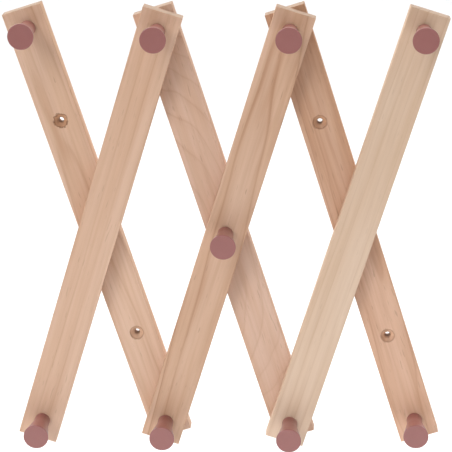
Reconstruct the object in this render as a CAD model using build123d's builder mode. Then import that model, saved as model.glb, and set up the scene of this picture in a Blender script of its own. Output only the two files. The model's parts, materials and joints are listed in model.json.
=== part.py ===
"""Expanding wooden wall rack: a scissor lattice of six pine slats that carries nine turned pegs.

Frame: +X to the right, +Y into the wall, +Z up, in millimetres. The origin is on the wall plane,
on the axis of the centre pivot. The rack is at rest half open, with every slat leaning the same way
in its own layer: the front slats lean to the right and the back slats to the left.
"""

import os
from math import cos, radians, sin

from build123d import *

# Slats
slat_length = 400.0
slat_width = 34.0
slat_thickness = 12.0
slat_edge_radius = 0.6
pivot_from_end = 17.0
lean = 17.4  # degrees from upright, at rest

# Wall screw holes, in the two outer back slats
wall_hole_from_middle = 100.0
wall_hole_diameter = 4.8
wall_hole_countersink = 12.0

# Washers between the two layers
washer_diameter = 14.0
washer_thickness = 0.5
washer_play = 0.05  # on each side of the washer

# Pegs
peg_length = 36.0
stem_diameter = 13.6
neck_height = 10.0  # where the straight stem meets the cone
neck_blend_radius = 45.0
head_diameter = 21.6
rim_height = 1.2
rim_edge_radius = 0.6
peg_pilot_depth = 17.0

# Wood screws
screw_diameter = 4.0
screw_root_diameter = 2.8
screw_head_diameter = 8.0
screw_head_recess = 0.3  # below the slat's back face
screw_pitch = 1.8
screw_thread_length = 12.6
screw_tip_length = 2.4
recess_width = 4.4
recess_slot = 1.0
recess_depth = 1.7
recess_taper = 8.0
pivot_screw_length = 40.0
peg_screw_length = 25.0
crossing_screw_length = 20.0
crossing_pilot_depth = 8.5

# Radial clearances
running_clearance = 0.08  # pivot screw in its slats
open_clearance = 0.30  # at the two crossings where the lattice's loops are opened
thread_clearance = 0.02  # thread crest in its pilot hole
head_clearance = 0.5  # countersink beside a screw head, at the slat's face

countersink_angle = 90.0

# Worked out from the sizes above
arm = slat_length / 2 - pivot_from_end
column_spacing = 2 * arm * sin(radians(lean))
layer_gap = washer_thickness + 2 * washer_play
back_face = 0.0
back_layer_front = slat_thickness
front_layer_back = slat_thickness + layer_gap
front_layer_front = front_layer_back + slat_thickness

back, front = -1, 1
left, centre, right = -1, 0, 1
top, middle, bottom = arm, 0.0, -arm


def on_slat(layer, column, along):
    """The x and z of a point on a slat's middle line, at a distance along it from its middle."""
    tilt = layer * radians(lean)
    return column * column_spacing + along * sin(tilt), along * cos(tilt)


def slat_plane(layer, column):
    """The room side of a slat: local X across the slat, local Y up it, local Z into the room."""
    tilt = layer * radians(lean)
    height = front_layer_front if layer == front else back_layer_front
    return Plane(
        origin=(column * column_spacing, -height, 0),
        x_dir=(cos(tilt), 0, -sin(tilt)),
        z_dir=(0, -1, 0),
    )


def turning_plane(x, z, height):
    """A plane through a turned piece's axis: local X is the radius, local Y the height into the room."""
    return Plane(origin=(x, -height, z), x_dir=(1, 0, 0), z_dir=(0, 0, -1))


def turning_axis(x, z):
    return Axis((x, 0, z), (0, -1, 0))


def save(part, name):
    part.label = name
    export_step(part, f"parts/{name}.step")


def make_slat(name, layer, column, heads=(), passes=(), open_heads=(), pilots=(), wall_screws=()):
    """A slat with its holes, each given by its distance along the slat.

    heads are screw holes countersunk from behind, open_heads the same with an open pivot's
    clearance, passes are plain holes, pilots are blind holes from behind, and wall_screws are
    countersunk from the front.
    """
    face = slat_plane(layer, column).location
    screw_radius = screw_diameter / 2
    sink_radius = screw_head_diameter / 2 + head_clearance

    def from_behind(along):
        return face * Pos(0, along, -slat_thickness) * Rot(0, 180, 0)

    with BuildPart() as slat:
        with BuildSketch(slat_plane(layer, column)):
            Rectangle(slat_width, slat_length)
        extrude(amount=-slat_thickness)
        fillet(slat.edges(), slat_edge_radius)
        for along in heads:
            with Locations(from_behind(along)):
                CounterSinkHole(
                    screw_radius + running_clearance,
                    sink_radius,
                    counter_sink_angle=countersink_angle,
                )
        for along in open_heads:
            with Locations(from_behind(along)):
                CounterSinkHole(
                    screw_radius + open_clearance,
                    sink_radius + open_clearance,
                    counter_sink_angle=countersink_angle,
                )
        for along in passes:
            with Locations(from_behind(along)):
                Hole(screw_radius + running_clearance)
        for along in pilots:
            with Locations(from_behind(along)):
                Hole(screw_radius + thread_clearance, depth=crossing_pilot_depth)
        for along in wall_screws:
            with Locations(face * Pos(0, along, 0)):
                CounterSinkHole(
                    wall_hole_diameter / 2,
                    wall_hole_countersink / 2,
                    counter_sink_angle=countersink_angle,
                )
    save(slat.part, name)


def make_peg(name, layer, column, along, seat):
    """A peg: a straight stem that opens in a long cone to a flat head, with a pilot hole up its axis."""
    x, z = on_slat(layer, column, along)
    stem = stem_diameter / 2
    head = head_diameter / 2
    rim_base = peg_length - rim_height
    with BuildPart() as peg:
        with BuildSketch(turning_plane(x, z, seat)):
            with BuildLine():
                Polyline(
                    (0, 0),
                    (stem, 0),
                    (stem, neck_height),
                    (head, rim_base),
                    (head, peg_length),
                    (0, peg_length),
                    close=True,
                )
            make_face()
        revolve(axis=turning_axis(x, z))
        rings = peg.edges().filter_by(GeomType.CIRCLE).sort_by(Axis.Y)
        fillet(rings[0], rim_edge_radius)
        fillet(rings[2], neck_blend_radius)
        with Locations(Plane(origin=(x, -seat, z), z_dir=(0, 1, 0))):
            Hole(screw_diameter / 2 + thread_clearance, depth=peg_pilot_depth)
    save(peg.part, name)


def thread_outline(length):
    """Points down a screw's threaded end, from the shank to the root beside the tip."""
    root = screw_root_diameter / 2
    crest = screw_diameter / 2
    turns = round((min(screw_thread_length, length / 2) - screw_tip_length) / screw_pitch)
    start = length - screw_tip_length - turns * screw_pitch
    points = []
    for turn in range(turns):
        height = start + turn * screw_pitch
        points += [(root, height), (crest, height + 0.45 * screw_pitch), (crest, height + 0.55 * screw_pitch)]
    return points + [(root, length - screw_tip_length)]


def make_screw(name, layer, column, along, seat, length):
    """A countersunk cross-head wood screw, with its head just below the face it is driven into."""
    x, z = on_slat(layer, column, along)
    shank = screw_diameter / 2
    head = screw_head_diameter / 2
    thread = thread_outline(length)
    with BuildPart() as screw:
        with BuildSketch(turning_plane(x, z, seat + screw_head_recess)):
            with BuildLine():
                Polyline(
                    (0, 0),
                    (head, 0),
                    (shank, head - shank),
                    (shank, thread[0][1]),
                    *thread,
                    (0, length),
                    close=True,
                )
            make_face()
        revolve(axis=turning_axis(x, z))
        with BuildSketch(Plane(origin=(x, -seat - screw_head_recess, z), z_dir=(0, 1, 0))):
            Rectangle(recess_width, recess_slot)
            Rectangle(recess_slot, recess_width)
        extrude(amount=-recess_depth, taper=recess_taper, mode=Mode.SUBTRACT)
    save(screw.part, name)


def make_washer(name, layer, column, along):
    x, z = on_slat(layer, column, along)
    with BuildPart() as washer:
        with BuildSketch(Plane(origin=(x, -back_layer_front - washer_play, z), z_dir=(0, -1, 0))):
            Circle(washer_diameter / 2)
            Circle(screw_diameter / 2 + running_clearance, mode=Mode.SUBTRACT)
        extrude(amount=washer_thickness)
    save(washer.part, name)


os.makedirs("parts", exist_ok=True)

# The slats, back layer first
wall_screws = (wall_hole_from_middle, -wall_hole_from_middle)
make_slat("back_slat_left", back, left, heads=(top, bottom), open_heads=(middle,), wall_screws=wall_screws)
make_slat("back_slat_centre", back, centre, heads=(top, middle, bottom))
make_slat("back_slat_right", back, right, heads=(top, bottom), open_heads=(middle,), wall_screws=wall_screws)
make_slat("front_slat_left", front, left, heads=(bottom,), passes=(top,), pilots=(middle,))
make_slat("front_slat_centre", front, centre, passes=(top, middle, bottom))
make_slat("front_slat_right", front, right, heads=(top,), passes=(bottom,), pilots=(middle,))

# The pegs, numbered from the left. The first and the last stand on a back slat's free end, and the
# centre peg stands just clear of the slat that turns under it.
pegs = {
    "peg_top_1": (back, left, top, back_layer_front),
    "peg_top_2": (front, left, top, front_layer_front),
    "peg_top_3": (front, centre, top, front_layer_front),
    "peg_top_4": (front, right, top, front_layer_front),
    "peg_centre": (front, centre, middle, front_layer_front + washer_play),
    "peg_bottom_1": (front, left, bottom, front_layer_front),
    "peg_bottom_2": (front, centre, bottom, front_layer_front),
    "peg_bottom_3": (front, right, bottom, front_layer_front),
    "peg_bottom_4": (back, right, bottom, back_layer_front),
}
for name, place in pegs.items():
    make_peg(name, *place)

# Screws through both layers into a peg
pivots = {
    "top_2": (front, left, top),
    "top_3": (front, centre, top),
    "centre": (front, centre, middle),
    "bottom_2": (front, centre, bottom),
    "bottom_3": (front, right, bottom),
}
for name, place in pivots.items():
    make_screw(f"pivot_screw_{name}", *place, back_face, pivot_screw_length)

# Screws through the free end of one slat into its peg
make_screw("peg_screw_top_1", back, left, top, back_face, peg_screw_length)
make_screw("peg_screw_top_4", front, right, top, front_layer_back, peg_screw_length)
make_screw("peg_screw_bottom_1", front, left, bottom, front_layer_back, peg_screw_length)
make_screw("peg_screw_bottom_4", back, right, bottom, back_face, peg_screw_length)

# Screws at the two outer crossings, hidden from the front
crossings = {"left": (front, left, middle), "right": (front, right, middle)}
for name, place in crossings.items():
    make_screw(f"crossing_screw_{name}", *place, back_face, crossing_screw_length)

for name, place in {**pivots, **crossings}.items():
    make_washer(f"washer_{name}", *place)
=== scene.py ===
"""The looks of an expanding wooden peg rack, in a white studio: streaky pine slats, mauve painted pegs,
zinc screws and nylon washers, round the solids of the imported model."""

import json
from math import atan2, cos, radians

import bpy
from mathutils import Matrix, Vector


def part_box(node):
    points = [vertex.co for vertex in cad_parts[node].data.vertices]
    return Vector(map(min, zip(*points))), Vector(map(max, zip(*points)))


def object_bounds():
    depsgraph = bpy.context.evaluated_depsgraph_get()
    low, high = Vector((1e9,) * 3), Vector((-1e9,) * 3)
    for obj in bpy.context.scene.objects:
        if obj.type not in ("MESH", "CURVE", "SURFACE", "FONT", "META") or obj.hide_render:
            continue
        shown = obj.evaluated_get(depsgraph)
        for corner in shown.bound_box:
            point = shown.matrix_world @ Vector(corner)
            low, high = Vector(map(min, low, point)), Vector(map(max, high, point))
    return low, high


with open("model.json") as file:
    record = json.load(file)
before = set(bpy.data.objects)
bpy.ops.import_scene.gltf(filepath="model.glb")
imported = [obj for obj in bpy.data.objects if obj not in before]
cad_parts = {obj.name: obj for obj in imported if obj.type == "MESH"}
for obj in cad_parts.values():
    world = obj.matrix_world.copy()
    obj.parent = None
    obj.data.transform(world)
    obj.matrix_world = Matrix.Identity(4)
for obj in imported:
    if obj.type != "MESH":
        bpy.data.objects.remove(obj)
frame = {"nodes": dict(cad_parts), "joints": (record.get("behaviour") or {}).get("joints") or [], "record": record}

cad_box = [list(corner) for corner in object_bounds()]

# The lean of the slats at rest, from the pivot at the top of the centre front slat
top_pivot = next(j for j in frame["joints"] if j["name"] == "top_3_pivot")["pos_m"]
lean = atan2(top_pivot[0], top_pivot[2])

MM = 0.001

# The white room round the rack, as radiance. The back's share grows between two values of a direction's Y,
# and the room is brighter overhead, where the change lies between two values of its Z.
front_glow = 0.23
back_glow = 1.10
back_from, back_full = -0.2, 0.5
overhead_share = 1.3
overhead_from, overhead_full = 0.25, 0.75

# The windows, left of the camera: direction, radiance, and the angles from that direction, in degrees, at
# which each starts and is full
WINDOWS = (
    ((-0.60, -0.63, 0.49), 7.1, 16, 7),
    ((-0.25, -0.66, 0.71), 4.0, 15, 6),
)

# The marks in the wood, in mm: how wide and how long each kind is, drawn out along the grain
wander_size = (26, 130)
zone_size = (11, 150)
streak_size = (2.8, 75)
fibre_size = (0.5, 24)
fleck_size = (1.2, 11)
chip_size = (1.8, 3.2)

# How far each way from its middle a slat goes on growing paler or darker, in mm
grading_reach = 180

# Where the darkest line of a growth ring lies, as a share of the ring's width
ring_line = 0.86

# The radii of a wall hole's countersink and bore, in mm, as the wood's colour follows them
sink_radius = 5.9
bore_radius = 2.9

# Colours, linear. The first three are factors on a slat's own tone.
pale_wood = (1.04, 1.06, 1.08)
warm_wood = (0.97, 0.94, 0.90)
late_wood = (0.69, 0.55, 0.43)
end_grain = (0.45, 0.33, 0.25)
end_ring = (0.27, 0.18, 0.125)
cut_wood = (0.50, 0.27, 0.15)
resin = (0.24, 0.12, 0.06)
sawn_edge = (0.22, 0.10, 0.05)
# Drilled end grain in the bore, made darker than the countersink as painted shade inside the hole
bore_wood_and_shade = (0.30, 0.16, 0.10)
mauve = (0.280, 0.084, 0.073)
mauve_light = (0.295, 0.092, 0.081)
mauve_speck = (0.40, 0.20, 0.185)
zinc_grey = (0.60, 0.60, 0.58)
zinc_warm = (0.76, 0.74, 0.68)
nylon_dull = (0.74, 0.72, 0.65)
nylon_pale = (0.82, 0.81, 0.76)
paper_grey = (0.90, 0.90, 0.90)
paper_white = (0.93, 0.93, 0.93)


# ---------------------------------------------------------------- camera

def make_camera():
    """A long lens above and a little to the right of the rack, looking slightly down and to the left."""
    azimuth, elevation, roll = radians(3.66), radians(17.66), radians(-0.61)
    place = Vector((0.0930, -1.4694, 0.4683))
    data = bpy.data.cameras.new("camera")
    data.lens = 142.53
    data.sensor_width = 36.0
    camera = bpy.data.objects.new("camera", data)
    turn = Matrix.Rotation(azimuth, 4, "Z") @ Matrix.Rotation(radians(90) - elevation, 4, "X")
    camera.matrix_world = Matrix.Translation(place) @ turn @ Matrix.Rotation(roll, 4, "Z")
    bpy.context.scene.collection.objects.link(camera)
    bpy.context.scene.camera = camera


# ---------------------------------------------------------------- node helpers

class Graph:
    """A material's nodes, with short calls for the few kinds that the recipes use."""

    def __init__(self, name):
        self.material = bpy.data.materials.new(name)
        self.material.use_nodes = True
        self.nodes = self.material.node_tree.nodes
        self.links = self.material.node_tree.links
        self.shader = self.nodes["Principled BSDF"]

    def put(self, value, socket):
        """Links a socket, or sets a plain number, vector or colour."""
        if isinstance(value, bpy.types.NodeSocket):
            self.links.new(value, socket)
        else:
            socket.default_value = value

    def object_point(self):
        return self.nodes.new("ShaderNodeTexCoord").outputs["Object"]

    def object_normal(self):
        return self.nodes.new("ShaderNodeTexCoord").outputs["Normal"]

    def math(self, operation, a, b=0.0, c=0.0):
        node = self.nodes.new("ShaderNodeMath")
        node.operation = operation
        for value, socket in zip((a, b, c), node.inputs):
            self.put(value, socket)
        return node.outputs[0]

    def vector(self, operation, a, b=(0, 0, 0)):
        node = self.nodes.new("ShaderNodeVectorMath")
        node.operation = operation
        self.put(a, node.inputs[0])
        self.put(b, node.inputs[1])
        return node.outputs["Value" if operation == "LENGTH" else "Vector"]

    def in_mm(self, point):
        return self.vector("DIVIDE", point, (MM, MM, MM))

    def turned(self, point, angle):
        """The point turned about Y."""
        node = self.nodes.new("ShaderNodeVectorRotate")
        node.rotation_type = "Y_AXIS"
        self.put(point, node.inputs["Vector"])
        node.inputs["Angle"].default_value = angle
        return node.outputs[0]

    def split(self, point):
        node = self.nodes.new("ShaderNodeSeparateXYZ")
        self.put(point, node.inputs[0])
        return node.outputs

    def join(self, x, y, z):
        node = self.nodes.new("ShaderNodeCombineXYZ")
        for value, socket in zip((x, y, z), node.inputs):
            self.put(value, socket)
        return node.outputs[0]

    def noise(self, point, detail=2.0, rough=0.5):
        node = self.nodes.new("ShaderNodeTexNoise")
        self.put(point, node.inputs["Vector"])
        node.inputs["Scale"].default_value = 1.0
        node.inputs["Detail"].default_value = detail
        node.inputs["Roughness"].default_value = rough
        return node.outputs["Fac"]

    def drawn_noise(self, point, size, detail=2.0, rough=0.5):
        """Noise drawn out along Z: size says how wide and how long its features are."""
        across, along = size
        return self.noise(self.vector("DIVIDE", point, (across, across, along)), detail, rough)

    def span(self, value, low, high, to_low=0.0, to_high=1.0):
        """The value carried from one range to another and held within it."""
        node = self.nodes.new("ShaderNodeMapRange")
        for item, socket in zip((value, low, high, to_low, to_high), node.inputs):
            self.put(item, socket)
        return node.outputs[0]

    def ramp(self, value, stops):
        """A grey ramp, smooth between its stops."""
        node = self.nodes.new("ShaderNodeValToRGB")
        node.color_ramp.interpolation = "EASE"
        while len(node.color_ramp.elements) < len(stops):
            node.color_ramp.elements.new(0.5)
        for element, (place, grey) in zip(node.color_ramp.elements, stops):
            element.position = place
            element.color = (grey, grey, grey, 1)
        self.put(value, node.inputs[0])
        return node.outputs[0]

    def mix(self, factor, a, b, blend="MIX"):
        node = self.nodes.new("ShaderNodeMix")
        node.data_type = "RGBA"
        node.blend_type = blend
        self.put(factor, node.inputs["Factor"])
        for value, name in ((a, "A"), (b, "B")):
            socket = next(s for s in node.inputs if s.name == name and s.type == "RGBA")
            self.put(value if isinstance(value, bpy.types.NodeSocket) else (*value, 1), socket)
        return next(s for s in node.outputs if s.type == "RGBA")

    def bump(self, height, depth, below=None):
        """A bump this deep, in metres, on top of the one below."""
        node = self.nodes.new("ShaderNodeBump")
        node.inputs["Strength"].default_value = 1.0
        node.inputs["Distance"].default_value = depth
        self.put(height, node.inputs["Height"])
        if below is not None:
            self.put(below, node.inputs["Normal"])
        return node.outputs[0]


# ---------------------------------------------------------------- materials

def toned(tone, factor):
    """A slat's tone, changed by a factor for each channel."""
    return tuple(a * b for a, b in zip(tone, factor))


def late_wood_share(g, local, wood, cut):
    """How much of the dark late wood of its growth ring each point shows, from 0 to 1."""
    x, y, z = g.split(local)

    # The distance from the tree's pith, which runs beside the slat, drifts along it and wanders
    bowed = g.math("MULTIPLY", g.math("MULTIPLY", z, z), cut["bow"])
    across = g.math("SUBTRACT", x, g.math("MULTIPLY_ADD", z, cut["drift"][0], cut["pith"][0]))
    deep = g.math("SUBTRACT", y, g.math("MULTIPLY_ADD", z, cut["drift"][1], cut["pith"][1]))
    radius = g.vector("LENGTH", g.join(across, g.math("SUBTRACT", deep, bowed), 0.0))
    wander = g.math("SUBTRACT", g.drawn_noise(wood, wander_size, 1.0), 0.5)
    radius = g.math("MULTIPLY_ADD", wander, cut["wander"], radius)

    # Each ring darkens slowly outwards to its line and then ends. The 20 keeps the count positive.
    rings = g.math("DIVIDE", g.math("SUBTRACT", radius, cut["line"]), cut["ring"])
    late = g.ramp(
        g.math("FRACT", g.math("ADD", rings, 20 + ring_line)),
        [(0.0, 0.0), (0.45, 0.08), (0.76, 0.38), (ring_line, 1.0), (0.91, 0.30), (1.0, 0.0)],
    )

    # Some rings are fainter than others, and each varies slowly along the slat
    place = g.join(g.math("MULTIPLY", rings, 0.45), cut["shift"][0], g.math("MULTIPLY", z, 0.006))
    return g.math("MULTIPLY", late, g.span(g.noise(place, 1.0), 0.30, 0.62, 0.15, 1.0))


def planed_colour(g, wood, along, late, fibre, cut):
    """The colour of a planed face: soft zones, streaks, rings, short dark flecks and fibres."""
    zone = g.drawn_noise(wood, zone_size, 2.0)
    streak = g.drawn_noise(wood, streak_size, 2.0)
    fleck = g.span(g.drawn_noise(wood, fleck_size, 0.0), 0.75, 0.83)
    pale = toned(cut["tone"], [1 + (part - 1) * cut["zones"] for part in pale_wood])
    warm = toned(cut["tone"], [1 + (part - 1) * cut["zones"] for part in warm_wood])
    dark = toned(cut["tone"], late_wood)

    colour = g.mix(g.span(zone, 0.34, 0.66), pale, warm)
    colour = g.mix(g.span(streak, 0.40, 0.75, 0.0, cut["streak"]), colour, dark)
    colour = g.mix(g.math("MULTIPLY", late, cut["contrast"]), colour, dark)
    colour = g.mix(g.math("MULTIPLY", fleck, cut["fleck"]), colour, resin)

    # Fibres, and the slow change from one end of the slat to the other, which is strongest in blue
    shade = g.span(fibre, 0.25, 0.75, 0.965, 1.03)
    graded = (-grading_reach, grading_reach)
    channels = []
    for share in (1.0, 1.3, 1.7):
        change = cut["along"] * share
        channels.append(g.math("MULTIPLY", shade, g.span(along, *graded, 1 - change, 1 + change)))
    return g.mix(1.0, colour, g.join(*channels), "MULTIPLY")


def hole_colour(g, colour, wood, deep, hole, wear):
    """The colour with a wall hole cut in it: a countersink in the front half, and a bore whose darker colour is
    partly drilled end grain and partly painted shade.
    """
    offset = g.split(g.in_mm(g.vector("SUBTRACT", g.object_point(), hole)))
    out = g.vector("LENGTH", g.join(offset[0], 0.0, offset[2]))
    chips = g.math("SUBTRACT", g.drawn_noise(wood, chip_size, 2.0), 0.5)
    out = g.math("MULTIPLY_ADD", chips, 1.0 + 4.0 * wear, out)
    front_half = g.span(deep, 1.0, 0.0)

    cone = g.span(out, sink_radius + 0.6, sink_radius, 0.0, 0.18 + 0.66 * wear)
    colour = g.mix(g.math("MULTIPLY", cone, front_half), colour, cut_wood)
    from_rim = g.math("ABSOLUTE", g.math("SUBTRACT", out, sink_radius))
    rim = g.span(from_rim, 0.8, 0.1, 0.0, 0.38 + 0.42 * wear)
    colour = g.mix(g.math("MULTIPLY", rim, front_half), colour, sawn_edge)
    # The bore: drilled end grain, mixed darker than the countersink, partly its own colour and partly painted
    # shade in the hole
    return g.mix(g.span(out, bore_radius + 0.3, bore_radius - 0.3, 0.0, 0.35), colour, bore_wood_and_shade)


def pine(name, centre, tilt, cut, holes):
    """Planed pine. cut says how this slat was sawn out of its tree; holes are its wall holes, each with
    its wear."""
    g = Graph(name)
    local = g.in_mm(g.turned(g.vector("SUBTRACT", g.object_point(), centre), -tilt))
    wood = g.vector("ADD", local, cut["shift"])
    late = late_wood_share(g, local, wood, cut)
    fibre = g.drawn_noise(wood, fibre_size, 3.0, 0.6)
    deep, along = g.split(local)[1:]
    colour = planed_colour(g, wood, along, late, fibre, cut)

    # The sawn ends are darker, with the same rings
    normal = g.split(g.turned(g.object_normal(), -tilt))
    facing = g.math("ABSOLUTE", normal[1])
    ends = g.span(g.math("ABSOLUTE", normal[2]), 0.6, 0.9)
    sawn = g.mix(g.math("MULTIPLY", late, 0.55), end_grain, end_ring)
    colour = g.mix(g.math("MULTIPLY", ends, 0.9), colour, sawn)
    for hole, wear in holes:
        colour = hole_colour(g, colour, wood, deep, hole, wear)
    g.put(colour, g.shader.inputs["Base Color"])

    # The broad faces are planed smooth, and the edges and ends are duller
    rough = g.math("ADD", g.span(facing, 0.5, 0.9, 0.72, 0.36), g.span(fibre, 0.2, 0.8, -0.04, 0.06))
    g.put(rough, g.shader.inputs["Roughness"])
    g.put(g.span(facing, 0.5, 0.9, 0.15, 0.5), g.shader.inputs["Specular IOR Level"])
    grain = g.bump(late, 0.04 * MM)
    grain = g.bump(fibre, 0.04 * MM, grain)
    g.put(grain, g.shader.inputs["Normal"])
    return g.material


def peg_paint(name, centre, seed):
    """Satin paint on turned wood: nearly even in colour, with fine specks, faint tool rings and a little of
    the grain beneath. The noises' scales are per metre. seed makes each peg's noise its own."""
    g = Graph(name)
    from_centre = g.vector("SUBTRACT", g.object_point(), centre)
    local = g.vector("ADD", from_centre, (seed, seed, seed))
    x, y, z = g.split(from_centre)
    cloud = g.noise(g.vector("MULTIPLY", local, (90, 90, 90)), 3.0)
    speck = g.noise(g.vector("MULTIPLY", local, (1500, 1500, 1500)), 2.0, 0.6)
    grain = g.noise(g.vector("MULTIPLY", local, (500, 40, 500)), 2.0, 0.55)
    colour = g.mix(g.span(cloud, 0.3, 0.7), mauve, mauve_light)
    colour = g.mix(g.span(speck, 0.3, 0.8, 0.0, 0.12), colour, mauve_speck)
    g.put(colour, g.shader.inputs["Base Color"])
    g.put(g.span(cloud, 0.3, 0.7, 0.34, 0.40), g.shader.inputs["Roughness"])
    g.shader.inputs["Specular IOR Level"].default_value = 0.7
    g.shader.inputs["Coat Weight"].default_value = 0.36
    g.shader.inputs["Coat Roughness"].default_value = 0.15
    axle = g.vector("LENGTH", g.join(x, 0.0, z))
    turning = g.math("SINE", g.math("ADD", g.math("MULTIPLY", axle, 9000), g.math("MULTIPLY", y, 5200)))
    normal = g.bump(turning, 0.004 * MM)
    normal = g.bump(grain, 0.03 * MM, normal)
    normal = g.bump(speck, 0.02 * MM, normal)
    g.put(normal, g.shader.inputs["Normal"])
    return g.material


def zinc(name):
    """Bright zinc plating, a little cloudy and scuffed."""
    g = Graph(name)
    point = g.object_point()
    cloud = g.noise(g.vector("MULTIPLY", point, (700, 700, 700)), 3.0)
    scuff = g.noise(g.vector("MULTIPLY", point, (5000, 600, 5000)), 2.0, 0.6)
    g.put(g.mix(cloud, zinc_grey, zinc_warm), g.shader.inputs["Base Color"])
    g.shader.inputs["Metallic"].default_value = 1.0
    g.put(g.span(scuff, 0.3, 0.7, 0.24, 0.42), g.shader.inputs["Roughness"])
    g.put(g.bump(scuff, 0.01 * MM), g.shader.inputs["Normal"])
    return g.material


def nylon(name):
    """Natural nylon, milky and faintly mottled."""
    g = Graph(name)
    cloud = g.noise(g.vector("MULTIPLY", g.object_point(), (400, 400, 400)), 3.0)
    g.put(g.mix(cloud, nylon_dull, nylon_pale), g.shader.inputs["Base Color"])
    g.put(g.span(cloud, 0.3, 0.7, 0.40, 0.52), g.shader.inputs["Roughness"])
    g.put(g.bump(cloud, 0.02 * MM), g.shader.inputs["Normal"])
    return g.material


# How each slat was sawn from its tree, in its own frame and in mm: X across, Y into the wall, Z along.
# pith is where the tree's middle ran beside the slat's middle, drift and bow how that changes along the
# slat, line the distance of one dark ring from it, ring the spacing of the rings, and wander how far they
# stray. shift only picks another piece of the noise. The rest is its look: tone is the mean colour, zones
# the strength of the pale and warm patches, along how much brighter the top end is than the middle,
# contrast the depth of the rings, streak that of the streaks, and fleck that of the short dark marks.
CUTS = {
    "back_slat_left": {
        "shift": (31, 12, 70), "pith": (-6, 26), "drift": (-0.030, 0.012), "bow": 0.0,
        "line": 39.8, "ring": 7.0, "wander": 7,
        "tone": (0.684, 0.459, 0.331), "along": -0.03,
        "contrast": 0.52, "streak": 0.36, "fleck": 0.35, "zones": 1.2,
    },
    "front_slat_left": {
        "shift": (-57, 33, 410), "pith": (-60, 30), "drift": (0.006, 0.004), "bow": 0.0,
        "line": 65.5, "ring": 9.0, "wander": 5,
        "tone": (0.667, 0.438, 0.310), "along": -0.01,
        "contrast": 0.40, "streak": 0.20, "fleck": 0.20, "zones": 1.0,
    },
    "back_slat_centre": {
        "shift": (83, -21, 900), "pith": (-30, 14), "drift": (0.0, 0.0), "bow": 0.0021,
        "line": 50.0, "ring": 11.0, "wander": 12,
        "tone": (0.640, 0.421, 0.309), "along": -0.01,
        "contrast": 0.42, "streak": 0.28, "fleck": 0.25, "zones": 1.3,
    },
    "front_slat_centre": {
        "shift": (140, 47, -300), "pith": (3, 24), "drift": (-0.059, 0.0136), "bow": 0.0,
        "line": 32.3, "ring": 6.0, "wander": 3,
        "tone": (0.632, 0.410, 0.285), "along": 0.0,
        "contrast": 1.0, "streak": 0.36, "fleck": 0.35, "zones": 1.4,
    },
    "back_slat_right": {
        "shift": (-111, 9, 250), "pith": (10, 22), "drift": (0.045, -0.016), "bow": 0.0,
        "line": 33.0, "ring": 5.5, "wander": 11,
        "tone": (0.620, 0.384, 0.264), "along": -0.14,
        "contrast": 0.65, "streak": 0.42, "fleck": 0.30, "zones": 1.8,
    },
    "front_slat_right": {
        "shift": (207, -60, 120), "pith": (-80, 20), "drift": (0.012, 0.002), "bow": 0.0,
        "line": 80.5, "ring": 7.5, "wander": 4,
        "tone": (0.668, 0.490, 0.360), "along": -0.035,
        "contrast": 0.42, "streak": 0.18, "fleck": 0.15, "zones": 1.0,
    },
}

# How dark and chipped each countersink is, from 0 to 1
WEAR = {
    "wall_hole_upper_left": 1.0,
    "wall_hole_lower_left": 0.15,
    "wall_hole_upper_right": 0.35,
    "wall_hole_lower_right": 0.05,
}


def middle(node):
    """The middle of a node's box at rest."""
    low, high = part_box(node)
    return (low + high) / 2


def wall_holes(node):
    """The wall holes in a slat, as pairs of a place and its wear. Only the outer back slats have any."""
    holes = []
    for mount in frame["record"]["mounts"]:
        side = mount["name"].split("_")[-1]
        if mount["name"] in WEAR and node == f"back_slat_{side}":
            holes.append((Vector(mount["pos_m"]), WEAR[mount["name"]]))
    return holes


def finish_nodes():
    """Gives every CAD node its material: each slat is cut and each peg painted on its own."""
    steel = zinc("zinc_plate")
    plastic = nylon("nylon")
    for name, obj in frame["nodes"].items():
        if name in CUTS:
            tilt = lean if name.startswith("front") else -lean
            material = pine(f"pine_{name}", middle(name), tilt, CUTS[name], wall_holes(name))
        elif "screw" in name:
            material = steel
        elif name.startswith("washer"):
            material = plastic
        else:
            material = peg_paint(f"paint_{name}", middle(name), 3.0 * len(bpy.data.materials))
        obj.data.materials.clear()
        obj.data.materials.append(material)


# ---------------------------------------------------------------- studio

def make_floor():
    """A wide pale floor, far enough below the rack that only a very soft shadow reaches it."""
    half = 9.0
    drop = 0.75
    level = cad_box[0][2] - drop
    mesh = bpy.data.meshes.new("floor")
    corners = [(-half, -half, level), (half, -half, level), (half, half, level), (-half, half, level)]
    mesh.from_pydata(corners, [], [(0, 1, 2, 3)])
    floor = bpy.data.objects.new("floor", mesh)
    bpy.context.scene.collection.objects.link(floor)
    g = Graph("floor_paper")
    mottle = g.noise(g.vector("MULTIPLY", g.object_point(), (3, 3, 3)), 2.0)
    g.put(g.mix(mottle, paper_grey, paper_white), g.shader.inputs["Base Color"])
    g.shader.inputs["Roughness"].default_value = 0.9
    g.shader.inputs["Specular IOR Level"].default_value = 0.1
    mesh.materials.append(g.material)


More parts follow.
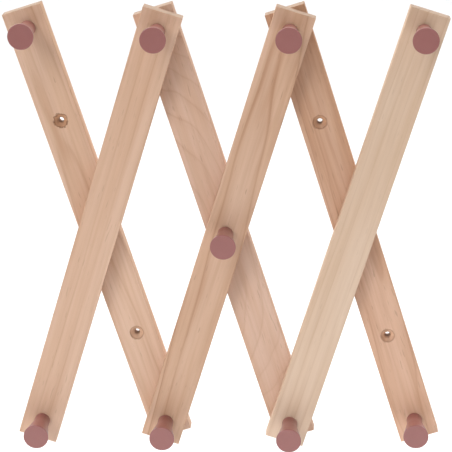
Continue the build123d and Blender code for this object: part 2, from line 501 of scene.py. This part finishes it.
def soft_light(name, place, aim, width, height, watts):
    """A soft box that faces a point."""
    data = bpy.data.lights.new(name, "AREA")
    data.shape = "RECTANGLE"
    data.size = width
    data.size_y = height
    data.energy = watts
    light = bpy.data.objects.new(name, data)
    light.location = place
    light.rotation_euler = (Vector(aim) - Vector(place)).to_track_quat("-Z", "Y").to_euler()
    bpy.context.scene.collection.objects.link(light)


def make_world():
    """A white room, bright behind the rack and overhead and dim on the camera's side, with the windows."""
    world = bpy.data.worlds.new("studio")
    world.use_nodes = True
    tree = world.node_tree
    direction = tree.nodes.new("ShaderNodeTexCoord").outputs["Generated"]
    parts = tree.nodes.new("ShaderNodeSeparateXYZ")
    tree.links.new(direction, parts.inputs[0])

    def fade(value, low, high, to_low, to_high):
        node = tree.nodes.new("ShaderNodeMapRange")
        node.interpolation_type = "SMOOTHSTEP"
        for number, socket in zip((low, high, to_low, to_high), node.inputs[1:5]):
            socket.default_value = number
        tree.links.new(value, node.inputs[0])
        return node.outputs[0]

    def combine(operation, a, b):
        node = tree.nodes.new("ShaderNodeMath")
        node.operation = operation
        tree.links.new(a, node.inputs[0])
        tree.links.new(b, node.inputs[1])
        return node.outputs[0]

    room = fade(parts.outputs["Y"], back_from, back_full, front_glow, back_glow)
    overhead = fade(parts.outputs["Z"], overhead_from, overhead_full, 1.0, overhead_share)
    room = combine("MULTIPLY", room, overhead)
    for middle_of_window, glow, edge, core in WINDOWS:
        toward = tree.nodes.new("ShaderNodeVectorMath")
        toward.operation = "DOT_PRODUCT"
        tree.links.new(direction, toward.inputs[0])
        toward.inputs[1].default_value = Vector(middle_of_window).normalized()
        window = fade(toward.outputs["Value"], cos(radians(edge)), cos(radians(core)), 0.0, glow)
        room = combine("ADD", room, window)
    tree.links.new(room, tree.nodes["Background"].inputs["Strength"])
    tree.nodes["Background"].inputs["Color"].default_value = (1, 1, 1, 1)
    bpy.context.scene.world = world


def make_lights():
    """The room, a low strip in front that lifts the undersides, and a light on the floor behind, which is
    turned away from the rack's back."""
    make_world()
    soft_light("low_fill", (0.05, -0.85, -0.60), (0, 0, -0.10), width=3.6, height=0.66, watts=4.4)
    soft_light("floor_wash", (0, 1.0, 2.2), (0, 4.6, -1.0), width=5.0, height=3.0, watts=110)


bpy.context.scene.view_settings.view_transform = "Standard"
make_camera()
finish_nodes()
make_floor()
make_lights()
